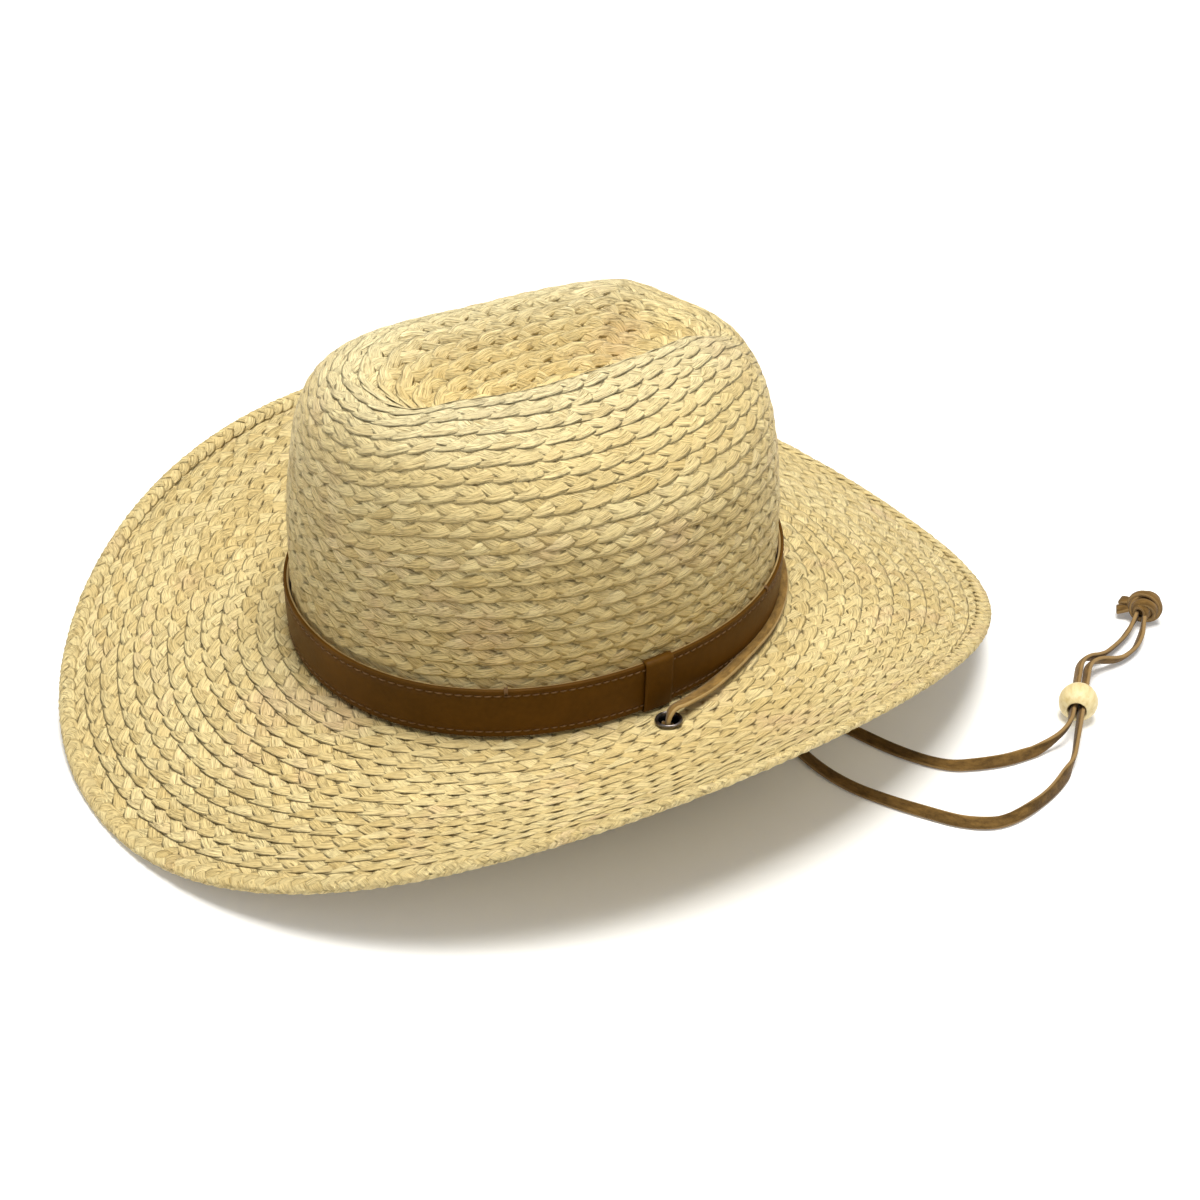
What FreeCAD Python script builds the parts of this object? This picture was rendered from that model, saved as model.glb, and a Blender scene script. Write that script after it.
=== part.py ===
"""Straw cowboy hat: spiral-sewn braid crown and brim, leather hat band, and a suede chin cord
with a wooden slide bead. Millimetres, +Z up, front of the hat towards -Y, wearer's left is +X.

The straw is worked out in the crown's own frame, whose floor is the fold between crown and brim,
and is then stood on the dips of its brim: settle() turns and lifts every hat piece by that much.
The free ends of the chin cord lie on the same floor, so they are written in the final frame."""
import FreeCAD
import Part
import math
import os

os.makedirs("parts", exist_ok=True)
Vec = FreeCAD.Vector

# ---------------------------------------------------------------- driving dimensions, mm
base_x = 86.4            # half width of the crown where it meets the brim, outside
base_y = 102.0           # half length of the crown there
base_power = 2.1         # superellipse exponent of that oval
straw = 2.8              # thickness of the sewn braid

# crown wall and its rounded shoulder
shoulder_side = 72.0     # height of the wall at the sides
shoulder_front = 14.0    # how much higher it is at the front
shoulder_back = 6.0      # and at the back
wall_lean = 0.035        # how far the wall leans in by its top, as a share of the oval
wall_bulge = 0.012       # and how far it swells half way up

# crest of the crown, the closed rim round the crease
crest_x_front = 36.4     # half spacing of the two ridges at the front
crest_x_back = 31.1      # and at the back
crest_front = 76.0       # reach of the crest forwards
crest_back = 78.0        # and backwards
crest_power = 2.6
crest_z_front = 126.0
crest_z_back = 119.0
crest_drop_front = 5.0   # the crest sinks a little at its two ends
crest_drop_back = 11.0
crest_end = 50.0         # the ends begin this far from the middle
side_dent = 14.0         # depth of the finger dents below the ridges

# crease down the middle of the crown
crease_y = 10.0          # middle of its floor, a little behind the hat's middle
crease_z = 88.0
crease_long = 0.28       # length of its floor as a share of the crest's
crease_steep = 0.78      # under 1 makes the sides fall faster near the crest

# brim edge: half sizes and its rise and fall round the hat
brim_x = 163.7
brim_y = 203.2
brim_power = 2.07
brim_egg = -0.029        # the back is a little narrower than the front
brim_shift_y = 2.5
edge_mean = 1.5
edge_curl = 28.2         # sides up, front and back down
edge_flat = -3.3
edge_pitch = -4.7
edge_twist = 0.6

# folded edge row and the wire in it
edge_half_width = 4.2
edge_half_height = 2.1
wire_radius = 0.9
wire_play = 0.05
sleeve_radius = 1.45
sleeve_half_length = 10.0

# hat band
band_height = 22.5
band_foot = 0.6
strap_thickness = 1.3
backing_thickness = 0.7
stitch_inset = 2.6
thread_radius = 0.35
keeper_half_width = 6.2
keeper_thickness = 1.2
keeper_centre_y = -2.2
glue = 0.2               # room that glue or thread takes between the layers sewn to the crown
tack = (0.5, 0.8, 2.6)   # thickness, width and height of a thread tack

# sweatband
sweat_height = 32.0
sweat_thickness = 1.1
piping_radius = 1.1

# eyelets and chin cord
eyelet_x = 98.6
eyelet_y = -3.8
eyelet_hole = 3.0
eyelet_barrel = 3.7
eyelet_flange = 5.8
eyelet_plate = 0.5
cord_radius = 1.7
bead_radius = 8.0
bead_bore = 3.75
bead_height = 8.1
bead_at = (151.3, 164.4)
bead_heading = 131.0     # direction of the bead's bore in plan, degrees from +X
strand_gap = 3.5         # distance between the two cord lines through the bead
knot_at = (115.3, 239.0, 7.4)
knot_radius = 7.2

# how closely the rounded shapes are followed
stations = 72            # points of every ring round the hat
wall_steps = 8
shoulder_steps = 10
crease_steps = 12
brim_steps = 16


# ---------------------------------------------------------------- shape of the hat
def oval(half_x, half_y, power, phi):
    """Point of a superellipse in the direction phi."""
    c = math.cos(phi)
    s = math.sin(phi)
    reach = (abs(c / half_x) ** power + abs(s / half_y) ** power) ** (-1.0 / power)
    return reach * c, reach * s


def ease(t):
    t = min(max(t, 0.0), 1.0)
    return t * t * (3.0 - 2.0 * t)


def crest_point(phi):
    """Crest of the crown: the two ridges and the ends that close them."""
    s = math.sin(phi)
    half_x = crest_x_front + (crest_x_back - crest_x_front) * (s + 1.0) / 2.0
    half_y = crest_front if s < 0 else crest_back
    x, y = oval(half_x, half_y, crest_power, phi)
    level = (crest_z_front + crest_z_back) / 2.0
    level += (crest_z_back - crest_z_front) / 2.0 * min(max(y / 60.0, -1.0), 1.0)
    level -= crest_drop_front * ease((-y - crest_end) / (crest_front - crest_end))
    level -= crest_drop_back * ease((y - crest_end) / (crest_back - crest_end))
    return Vec(x, y, level)


def wall_height(phi):
    s = math.sin(phi)
    return shoulder_side + (shoulder_front if s < 0 else shoulder_back) * s * s


def wall_scale(t):
    return 1.0 - wall_lean * t ** 3 + wall_bulge * math.sin(0.85 * math.pi * t)


def crown_profile(phi, s):
    """Outside of the crown. s is 0 at the brim, 0.5 at the wall's top, 1 on the crest, 2 in the crease."""
    base = Vec(*oval(base_x, base_y, base_power, phi), 0.0)
    top = wall_height(phi)
    if s <= 0.5:
        t = max(s, 0.0) * 2.0
        return base * wall_scale(t) + Vec(0, 0, top * t)
    crest = crest_point(phi)
    side = math.cos(phi) ** 2
    front = math.sin(phi) < 0
    if s <= 1.0:
        t = s * 2.0 - 1.0
        rise = 34.0 * side + (28.0 if front else 24.0) * (1.0 - side)
        reach = 0.28 * side + 0.50 * (1.0 - side)
        start = base * wall_scale(1.0) + Vec(0, 0, top)
        above = base * (wall_scale(1.0) - 0.03) + Vec(0, 0, top + rise)
        level = Vec(crest.x, crest.y, 0.0)
        beside = level + (base * wall_scale(1.0) - level) * reach + Vec(0, 0, crest.z - side_dent * side)
        u = 1.0 - t
        return start * u ** 3 + above * (3 * t * u * u) + beside * (3 * t * t * u) + crest * t ** 3
    t = s - 1.0
    floor_y = crease_y + crest.y * crease_long
    level = crest.z + (crease_z - crest.z) * ease(t ** crease_steep)
    return Vec(crest.x * (1.0 - t), crest.y + (floor_y - crest.y) * t, level)


def crown_point(phi, s):
    """The profile with its corners eased, as steamed straw has them."""
    if s <= 0.5:
        return crown_profile(phi, s)
    d = min(0.05, s - 0.5, 2.0 - s)
    return (crown_profile(phi, s - d) + crown_profile(phi, s) * 2.0 + crown_profile(phi, s + d)) * 0.25


def crown_normal(phi, s):
    across = crown_point(phi + 0.01, s) - crown_point(phi - 0.01, s)
    along = crown_point(phi, min(s + 0.01, 2.0)) - crown_point(phi, max(s - 0.01, 0.0))
    return across.cross(along).normalize()


def edge_point(phi):
    """Outline of the brim's edge."""
    x, y = oval(brim_x, brim_y, brim_power, phi)
    x *= 1.0 + brim_egg * y / brim_y
    z = edge_mean + edge_curl * math.cos(2 * phi) + edge_flat * math.cos(4 * phi)
    z += edge_pitch * math.sin(phi) + edge_twist * math.sin(3 * phi)
    return Vec(x, y + brim_shift_y, z)


def brim_point(phi, s):
    """Top of the brim, s 0 at the crown and 1 at the edge. It curls up late and dips early."""
    inner = Vec(*oval(base_x, base_y, base_power, phi), 0.0)
    outer = edge_point(phi)
    power = 1.85 + 0.35 * math.cos(2 * phi)
    return Vec(inner.x + (outer.x - inner.x) * s, inner.y + (outer.y - inner.y) * s, outer.z * s ** power)


def brim_frame(phi, s):
    """Outward direction along the brim's top and the normal to it."""
    out = brim_point(phi, s + 0.01) - brim_point(phi, s - 0.01)
    out.normalize()
    round_ = brim_point(phi + 0.01, s) - brim_point(phi - 0.01, s)
    up = out.cross(round_)
    up.normalize()
    return out, up


def wall_outward(phi):
    """Horizontal direction square to the crown's base oval."""
    a = Vec(*oval(base_x, base_y, base_power, phi + 0.005), 0.0)
    b = Vec(*oval(base_x, base_y, base_power, phi - 0.005), 0.0)
    step = (a - b).normalize()
    return Vec(step.y, -step.x, 0.0)


def wall_point(phi, z, proud):
    """Point that stands proud of the crown's outside at height z."""
    return crown_profile(phi, 0.5 * z / wall_height(phi)) + wall_outward(phi) * proud


# ---------------------------------------------------------------- building helpers
turns = [2.0 * math.pi * i / stations for i in range(stations)]


def ring_edge(point_at):
    """Closed smooth curve round the hat through point_at(phi)."""
    curve = Part.BSplineCurve()
    curve.interpolate([point_at(phi) for phi in turns], True)
    return curve.toShape()


def solid_of(faces):
    solid = Part.Solid(Part.Shell(faces))
    if solid.Volume < 0:
        solid.reverse()
    return solid


def ring_solid(section):
    """Solid ring round the hat. section is a list of point_at functions, in order round the section."""
    edges = [ring_edge(point_at) for point_at in section]
    faces = [Part.makeRuledSurface(a, b).Faces[0] for a, b in zip(edges, edges[1:] + edges[:1])]
    return solid_of(faces)


def cap_solid(outer, inner):
    """Thick cap between two skins, each a list of rings from the rim to a last level ring that a plane closes."""
    skins = [[ring_edge(point_at) for point_at in section] for section in (outer, inner)]
    faces = [Part.makeRuledSurface(a, b).Faces[0] for edges in skins for a, b in zip(edges, edges[1:])]
    faces += [Part.Face(Part.Wire([edges[-1]])) for edges in skins]
    faces.append(Part.makeRuledSurface(skins[0][0], skins[1][0]).Faces[0])
    return solid_of(faces)


def round_section(centre_at, radius, sides):
    """Section list of a thread or wire whose centre and frame are centre_at(phi)."""
    def corner(k):
        angle = 2.0 * math.pi * k / sides

        def point_at(phi):
            centre, out, up = centre_at(phi)
            return centre + out * (radius * math.cos(angle)) + up * (radius * math.sin(angle))
        return point_at
    return [corner(k) for k in range(sides)]


def rest_turn():
    """Angle about X and lift that stand the brim's front and back dips on the floor."""
    bottom = [edge_section(phi, -math.pi / 2.0) for phi in turns]
    front = min((p for p in bottom if p.y < 0), key=lambda p: p.z)
    back = min((p for p in bottom if p.y > 0), key=lambda p: p.z)
    angle = math.atan2(front.z - back.z, back.y - front.y)
    return angle


def settle(shape):
    """Stand a hat piece on the floor."""
    placed = shape.copy()
    placed.rotate(Vec(0, 0, 0), Vec(1, 0, 0), math.degrees(rest_angle))
    placed.translate(rest_shift)
    return placed


def settle_point(p):
    c = math.cos(rest_angle)
    s = math.sin(rest_angle)
    return Vec(p.x, p.y * c - p.z * s, p.y * s + p.z * c) + rest_shift


def cord_tube(route, name):
    """Round tube along straight runs joined by tangent arcs."""
    points = [Vec(*p) for p in route]
    edges = []
    radii = []
    length = 0.0
    last = points[0]
    for i in range(1, len(points) - 1):
        before = points[i] - points[i - 1]
        after = points[i + 1] - points[i]
        shorter = min(before.Length, after.Length)
        turn = before.getAngle(after)
        reach = 0.45 * shorter
        radii.append(reach / math.tan(turn / 2.0))
        a = points[i] - before * (reach / before.Length)
        b = points[i] + after * (reach / after.Length)
        middle = (a + b) * 0.5
        bow = radii[-1] * (1.0 / math.cos(turn / 2.0) - 1.0)
        top = points[i] + (middle - points[i]).normalize() * bow
        edges.append(Part.LineSegment(last, a).toShape())
        edges.append(Part.Arc(a, top, b).toShape())
        length += (a - last).Length + radii[-1] * turn
        last = b
    edges.append(Part.LineSegment(last, points[-1]).toShape())
    length += (points[-1] - last).Length
    path = Part.Wire(edges)
    start = (points[1] - points[0]).normalize()
    profile = Part.Wire([Part.makeCircle(cord_radius, points[0], start)])
    tube = path.makePipeShell([profile], True, False)
    if tube.Volume < 0:
        tube.reverse()
    ideal = math.pi * cord_radius ** 2 * length
    print(name, "length %.1f mm, volume ratio %.4f," % (length, tube.Volume / ideal),
          "radii", " ".join("%.0f" % r for r in radii))
    return tube


def save(name, shape):
    if not shape.isValid():
        print("NOT VALID", name)
    shape.exportStep("parts/%s.step" % name)
    box = shape.BoundBox
    print("%-26s %2d solid %9.1f mm3  z %.1f to %.1f" % (name, len(shape.Solids), shape.Volume, box.ZMin, box.ZMax))


# ---------------------------------------------------------------- straw
def outside(s):
    return lambda phi: crown_point(phi, s)


def inside(s):
    return lambda phi: crown_point(phi, s) - crown_normal(phi, s) * straw


def crown_side_braid():
    """Side of the crown, from the brim to the shoulder."""
    steps = [0.5 * i / wall_steps for i in range(wall_steps + 1)]
    outer = [outside(s) for s in steps]
    inner = [inside(s) for s in reversed(steps[1:])]
    foot = [lambda phi: wall_point(phi, 0.0, -straw)]
    return ring_solid(outer + inner + foot)


def crown_tip_braid():
    """Tip of the crown: the shoulder, the two ridges and the crease between them."""
    steps = [0.5 + 0.5 * i / shoulder_steps for i in range(shoulder_steps)]
    steps += [1.0 + 0.96 * i / crease_steps for i in range(crease_steps + 1)]
    outer = [outside(s) for s in steps[:-1]] + [crease_ring(steps[-1], 0.0)]
    inner = [inside(s) for s in steps[:-1]] + [crease_ring(steps[-1], straw)]
    return cap_solid(outer, inner)


def crease_ring(s, depth):
    """Last small ring in the crease, level so that a plane closes it."""
    level = crown_point(0.0, 2.0).z - depth
    return lambda phi: Vec(crown_point(phi, s).x, crown_point(phi, s).y, level)


def edge_section(phi, angle):
    """Skin of the folded edge row: a squarish oval round its middle line."""
    width = (edge_point(phi) - brim_point(phi, 0.0)).Length
    s = 1.0 - edge_half_width / width
    out, up = brim_frame(phi, s)
    centre = brim_point(phi, s) - up * (straw / 2.0)
    c = math.cos(angle)
    d = math.sin(angle)
    square = (abs(c) ** 2.6 + abs(d) ** 2.6) ** (-1.0 / 2.6)
    return centre + out * (edge_half_width * c * square) + up * (edge_half_height * d * square)


def wire_frame(phi):
    """Middle of the wire, in the outer half of the folded edge."""
    outer = edge_section(phi, 0.0)
    inner = edge_section(phi, math.pi)
    out = (outer - inner).normalize()
    up = brim_frame(phi, 0.98)[1]
    return (outer + inner) * 0.5 + out * 1.5, out, up


def brim_braid(holes):
    """Brim from the inside of the crown wall to the folded edge row."""
    def skin(s, drop):
        def point_at(phi):
            if s < 0:
                return wall_point(phi, 0.0, -straw) - Vec(0, 0, drop)
            width = (edge_point(phi) - brim_point(phi, 0.0)).Length
            reach = s * (1.0 - (2.0 * edge_half_width - 1.2) / width)
            return brim_point(phi, reach) - Vec(0, 0, drop)
        return point_at
    steps = [i / brim_steps for i in range(brim_steps + 1)]
    top = [skin(-1, 0.0)] + [skin(s, 0.0) for s in steps]
    bottom = [skin(s, straw) for s in reversed(steps)] + [skin(-1, straw)]
    brim = ring_solid(top + bottom)
    for hole in holes:
        brim = brim.cut(hole)
    return brim


def brim_edge_row(wire_room, sleeve_room):
    sides = 16
    section = [lambda phi, a=2.0 * math.pi * k / sides: edge_section(phi, a) for k in range(sides)]
    row = ring_solid(section)
    return row.cut(wire_room).cut(sleeve_room)


def brim_wire(extra):
    return ring_solid(round_section(wire_frame, wire_radius + extra, 10))


def sleeve(radius):
    """Short tube that joins the wire's ends at the back of the brim."""
    reach = sleeve_half_length / brim_y
    wires = []
    for i in range(5):
        phi = math.pi / 2.0 + reach * (i / 2.0 - 1.0) * 1.25
        centre, out, up = wire_frame(phi)
        wires.append(Part.Wire([Part.makeCircle(radius, centre, out.cross(up))]))
    return Part.makeLoft(wires, True, True)


# ---------------------------------------------------------------- hat band
def wall_ring(low, high, inside, outside):
    """Flat ring that follows the crown wall, between two heights and two offsets."""
    return ring_solid([lambda phi: wall_point(phi, low, inside),
                       lambda phi: wall_point(phi, low, outside),
                       lambda phi: wall_point(phi, (low + high) / 2.0, outside),
                       lambda phi: wall_point(phi, high, outside),
                       lambda phi: wall_point(phi, high, inside),
                       lambda phi: wall_point(phi, (low + high) / 2.0, inside)])


band_proud = glue + backing_thickness + strap_thickness


def stitch_ring(z):

    def frame_at(phi):
        return wall_point(phi, z, band_proud), wall_outward(phi), Vec(0, 0, 1)
    return ring_solid(round_section(frame_at, thread_radius, 6))


def keeper():
    """Leather loop over the joint of the strap, open towards the crown."""
    top = band_foot + band_height
    room = band_proud + thread_radius + 0.05
    outer = wall_ring(band_foot - 0.5, top + keeper_thickness, glue, room + keeper_thickness)
    inner = wall_ring(band_foot - 0.05, top + 0.05, -1.0, room)
    block = Part.makeBox(40, 2 * keeper_half_width, 60, Vec(base_x - 20, keeper_centre_y - keeper_half_width, -20))
    return outer.common(block).cut(inner)


def tacks():
    """Thread tacks that hold the band to the crown, over its upper edge."""
    pieces = []
    for degrees in (40, 140, 220, 320):
        phi = math.radians(degrees)
        out = wall_outward(phi)
        foot = wall_point(phi, band_foot + band_height - 1.6, band_proud + 0.05)
        bar = Part.makeBox(*tack)
        bar.rotate(Vec(0, 0, 0), Vec(0, 0, 1), math.degrees(math.atan2(out.y, out.x)))
        bar.translate(foot)
        pieces.append(bar)
    return Part.makeCompound(pieces)


# ---------------------------------------------------------------- sweatband
sweat_outside = -straw - glue
sweat_inside = sweat_outside - sweat_thickness


def sweatband():
    return wall_ring(-1.0, sweat_height, sweat_inside, sweat_outside)


def sweatband_piping():
    def frame_at(phi):
        centre = wall_point(phi, 0.0, sweat_inside - piping_radius) - Vec(0, 0, 0.4)
        return centre, wall_outward(phi), Vec(0, 0, 1)
    return ring_solid(round_section(frame_at, piping_radius, 8))


def sweatband_tab():
    """Flat tab over the sweatband's joint at the back."""
    ring = wall_ring(1.4, sweat_height - 3.0, sweat_inside - 0.9, sweat_inside - 0.1)
    return ring.common(Part.makeBox(9.0, 40.0, 60.0, Vec(-4.5, base_y - 25, -5)))


# ---------------------------------------------------------------- eyelets
def eyelet_seat(side):
    """Middle of the brim's top at an eyelet, and the normal there."""
    phi = math.atan2(eyelet_y, side * eyelet_x)
    inner = brim_point(phi, 0.0)
    outer = brim_point(phi, 1.0)
    s = (math.hypot(eyelet_x, eyelet_y) - math.hypot(inner.x, inner.y))
    s /= math.hypot(outer.x, outer.y) - math.hypot(inner.x, inner.y)
    return brim_point(phi, s), brim_frame(phi, s)[1]


def disc(seat, axis, low, high, radius):
    return Part.makeCylinder(radius, high - low, seat + axis * low, axis)


def eyelet(side):
    """Rolled flange and barrel in one piece, through the straw."""
    seat, up = eyelet_seat(side)
    flange = disc(seat, up, 0.15, 1.25, eyelet_flange)
    rim = [e for e in flange.Edges if abs((e.CenterOfMass - seat).dot(up) - 1.25) < 0.01]
    flange = flange.makeFillet(0.8, rim[:1])
    barrel = disc(seat, up, -straw - 1.2, 0.6, eyelet_barrel)
    return flange.fuse(barrel).cut(disc(seat, up, -10, 10, eyelet_hole)).removeSplitter()


def eyelet_washer(side):
    seat, up = eyelet_seat(side)
    plate = disc(seat, up, -straw - 0.85 - eyelet_plate, -straw - 0.35, eyelet_flange - 0.4)
    return plate.cut(disc(seat, up, -10, 10, eyelet_barrel))


# ---------------------------------------------------------------- chin cord
def bead_axis():
    turn = math.radians(bead_heading)
    return Vec(math.cos(turn), math.sin(turn), 0.0)


def bead_point(distance, side):
    """Point of one cord line through the bead, distance along the bore from its middle."""
    axis = bead_axis()
    across = Vec(-axis.y, axis.x, 0.0)
    return Vec(bead_at[0], bead_at[1], bead_height) + axis * distance + across * (side * strand_gap / 2.0)


def slide_bead():
    """Turned wooden bead with flats at the mouths of its bore."""
    centre = Vec(bead_at[0], bead_at[1], bead_height)
    axis = bead_axis()
    ball = Part.makeSphere(bead_radius, centre)
    bore = Part.makeCylinder(bead_bore, 4 * bead_radius, centre - axis * (2 * bead_radius), axis)
    return ball.cut(bore)


def knot():
    """Overhand knot in both strands, with the two cut ends."""
    ball = Part.makeSphere(knot_radius, Vec(*knot_at))
    for heading, level in ((196.0, 7.6), (222.0, 6.0)):
        stub = Part.makeBox(11.5, 4.6, 2.0, Vec(0, -2.3, -1.0))
        stub.rotate(Vec(0, 0, 0), Vec(0, 0, 1), heading)
        stub.translate(Vec(knot_at[0], knot_at[1], level))
        ball = ball.fuse(stub)
    return ball



rest_angle = rest_turn()


def rest_move():
    """Shift that puts the lowest point of the brim on the floor and its box's centre on the Z axis."""
    c = math.cos(rest_angle)
    d = math.sin(rest_angle)
    skin = [edge_section(phi, 2.0 * math.pi * k / 16) for phi in turns for k in range(16)]
    low = min(p.y * d + p.z * c for p in skin)
    ys = [p.y * c - p.z * d for p in skin]
    return Vec(0, -(min(ys) + max(ys)) / 2.0, -low)


rest_shift = rest_move()


# ---------------------------------------------------------------- routes of the chin cord
# Round the back of the crown, in the crown's frame, from one eyelet up and over to the other.
back_half = [(98.6, -3.8, -0.6), (98.4, -3.6, 5.6), (97.6, 4.0, 4.4), (93.9, 21.0, 2.3), (87.3, 42.0, 2.1),
             (73.0, 71.3, 2.1), (48.7, 95.2, 1.9), (18.0, 107.7, 1.8)]
back_route = back_half + [(-x, y, z) for x, y, z in reversed(back_half)]

# Left tail, in the final frame: down from its eyelet, a slack bight under the hat, out past the
# brim, through the bead and into the knot.
left_route = [settle_point(Vec(*back_half[0])), (98.9, -7.8, 20.5), (97.2, -11.5, 7.5), (90.0, -22.0, 1.75),
              (73.0, -33.0, 1.75), (50.0, -35.0, 1.75), (33.0, -18.0, 1.75), (33.0, 8.0, 1.75), (49.0, 31.0, 1.75),
              (72.0, 45.5, 1.75), (98.0, 51.6, 1.75), (133.0, 51.2, 1.75), (160.5, 65.0, 1.75), (187.0, 81.8, 1.75),
              (187.4, 112.0, 1.75), (176.5, 138.5, 1.75), bead_point(-19.0, -1), bead_point(32.0, -1),
              (134.3, 207.5, 1.75), (129.5, 224.0, 2.3), (119.5, 235.0, 5.6)]

# Right tail, in the final frame: under the hat from the far side, then the same way.
right_route = [settle_point(Vec(*back_route[-1])), (-98.9, -7.8, 20.5), (-95.5, -8.6, 7.5), (-84.0, -8.0, 1.75),
               (-64.0, -3.5, 1.75), (-37.0, 7.5, 1.75), (-10.0, 24.5, 1.75), (18.0, 44.0, 1.75), (52.0, 61.5, 1.75),
               (92.0, 71.0, 1.75), (146.1, 89.8, 1.75), (158.7, 112.8, 1.75), (161.5, 132.0, 1.75),
               bead_point(-19.0, 1), bead_point(32.0, 1), (124.3, 206.0, 1.75), (120.5, 224.0, 2.3),
               (116.2, 234.0, 5.6)]

# ---------------------------------------------------------------- everything, written out
seats = [eyelet_seat(side) for side in (1, -1)]
holes = [disc(seat, up, -20, 20, eyelet_barrel) for seat, up in seats]

hat = {
    "crown_side_braid": crown_side_braid(),
    "crown_tip_braid": crown_tip_braid(),
    "brim_braid": brim_braid(holes),
    "brim_edge_row": brim_edge_row(brim_wire(wire_play), sleeve(sleeve_radius)),
    "brim_wire": brim_wire(0.0),
    "brim_wire_sleeve": sleeve(sleeve_radius).cut(sleeve(wire_radius + wire_play)),
    "sweatband": sweatband(),
    "sweatband_piping": sweatband_piping(),
    "sweatband_tab": sweatband_tab(),
    "hat_band_backing": wall_ring(band_foot, band_foot + band_height, glue, glue + backing_thickness),
    "hat_band_strap": wall_ring(band_foot, band_foot + band_height, glue + backing_thickness, band_proud),
    "hat_band_stitching_upper": stitch_ring(band_foot + band_height - stitch_inset),
    "hat_band_stitching_lower": stitch_ring(band_foot + stitch_inset),
    "hat_band_keeper": keeper(),
    "hat_band_tacks": tacks(),
    "eyelet_left": eyelet(1),
    "eyelet_right": eyelet(-1),
    "eyelet_washer_left": eyelet_washer(1),
    "eyelet_washer_right": eyelet_washer(-1),
    "chin_cord_back": cord_tube(back_route, "chin_cord_back"),
}
for name, shape in hat.items():
    save(name, settle(shape))

save("chin_cord_left_tail", cord_tube(left_route, "chin_cord_left_tail"))
save("chin_cord_right_tail", cord_tube(right_route, "chin_cord_right_tail"))
save("chin_cord_knot", knot())
save("slide_bead", slide_bead())
print("rest angle %.3f degrees, shift" % math.degrees(rest_angle), rest_shift)
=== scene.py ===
"""Looks of the straw cowboy hat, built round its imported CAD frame. +Z up, front towards -Y, the wearer's
left is +X.

The straw is real plait: flat strands that weave over and under each other, in rows sewn like shingles, each
row's outer edge over the next row. The hat's surface is worked out in millimetres in the crown's own frame,
whose floor is the fold between crown and brim. settle() stands it on its brim and turns it into metres."""
import math

import bpy
import numpy as np
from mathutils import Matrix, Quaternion, Vector


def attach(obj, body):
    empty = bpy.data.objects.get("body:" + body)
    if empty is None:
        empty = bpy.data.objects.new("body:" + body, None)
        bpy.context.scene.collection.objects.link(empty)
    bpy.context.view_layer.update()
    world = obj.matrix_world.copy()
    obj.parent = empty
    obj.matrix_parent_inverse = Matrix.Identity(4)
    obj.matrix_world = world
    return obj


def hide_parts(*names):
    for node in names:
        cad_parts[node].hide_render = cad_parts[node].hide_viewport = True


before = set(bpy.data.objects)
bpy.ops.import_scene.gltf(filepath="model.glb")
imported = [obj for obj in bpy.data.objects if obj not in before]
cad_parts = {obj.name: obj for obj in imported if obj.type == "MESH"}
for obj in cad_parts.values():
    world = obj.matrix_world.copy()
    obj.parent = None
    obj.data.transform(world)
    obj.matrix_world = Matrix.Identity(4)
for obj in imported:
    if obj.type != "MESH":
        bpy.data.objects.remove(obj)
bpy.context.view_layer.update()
MM = 0.001
TAU = 2.0 * math.pi

# ---- the hat's shape, mm, as the CAD has it
BASE_X, BASE_Y, BASE_POWER = 86.4, 102.0, 2.1
STRAW = 2.8
SHOULDER_SIDE, SHOULDER_FRONT, SHOULDER_BACK = 72.0, 14.0, 6.0
WALL_LEAN, WALL_BULGE = 0.035, 0.012
CREST_X_FRONT, CREST_X_BACK = 36.4, 31.1
CREST_FRONT, CREST_BACK, CREST_POWER = 76.0, 78.0, 2.6
CREST_Z_FRONT, CREST_Z_BACK = 126.0, 119.0
CREST_DROP_FRONT, CREST_DROP_BACK, CREST_END = 5.0, 11.0, 50.0
SIDE_DENT = 14.0
CREASE_Y, CREASE_Z, CREASE_LONG, CREASE_STEEP = 10.0, 88.0, 0.28, 0.78
BRIM_X, BRIM_Y, BRIM_POWER = 163.7, 203.2, 2.07
BRIM_EGG, BRIM_SHIFT_Y = -0.029, 2.5
EDGE_MEAN, EDGE_CURL, EDGE_FLAT, EDGE_PITCH, EDGE_TWIST = 1.5, 28.2, -3.3, -4.7, 0.6
EDGE_HALF_WIDTH, EDGE_HALF_HEIGHT = 4.2, 2.1
BAND_FOOT, BAND_HEIGHT = 0.6, 22.5
GLUE, BACKING, STRAP = 0.2, 0.7, 1.3
BAND_PROUD = GLUE + BACKING + STRAP
STITCH_INSET, THREAD_RADIUS = 2.6, 0.35
KEEPER_HALF_WIDTH, KEEPER_Y, KEEPER_THICKNESS = 6.2, -2.2, 1.2
EYELET_X, EYELET_Y, EYELET_BARREL, EYELET_FLANGE = 98.6, -3.8, 3.7, 5.5
BEAD_AT, BEAD_HEADING, BEAD_RADIUS, BEAD_BORE, STRAND_GAP = (151.3, 164.4, 8.1), 131.0, 8.0, 3.75, 3.5
KNOT_AT = (115.3, 239.0, 7.4)

# ---- lace and plait, mm
LACE_WIDTH, LACE_THICKNESS = 4.8, 1.9
ROW_PITCH = 7.9          # spacing of the sewn rows on the brim
CROWN_PITCH = 6.5        # and on the crown, where they lap further
PLAIT_PERIOD = 28.5      # length in which a strand comes back to the same edge
CROWN_PERIOD = 31.5      # and on the crown
PLAIT_STEP = 1.5         # spacing of the cross sections along a strand
PLAIT_DEPTH = -1.35      # middle of the plait below the hat's outer surface
PLAIT_FLOOR = -2.85      # and its lowest reach
PAINTED_HIGHLIGHT_FROM_TO = 0.137, 0.153     # heights between which a painted highlight makes the straw paler, in metres
BEAD_SQUEEZE = 0.15      # how much the bead's bore narrows the lace


# ---- hat surface
def vec(x, y, z):
    return np.stack(np.broadcast_arrays(x, y, z), -1).astype(float)


def unit(v):
    return v / np.maximum(np.linalg.norm(v, axis=-1, keepdims=True), 1e-9)


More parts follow.
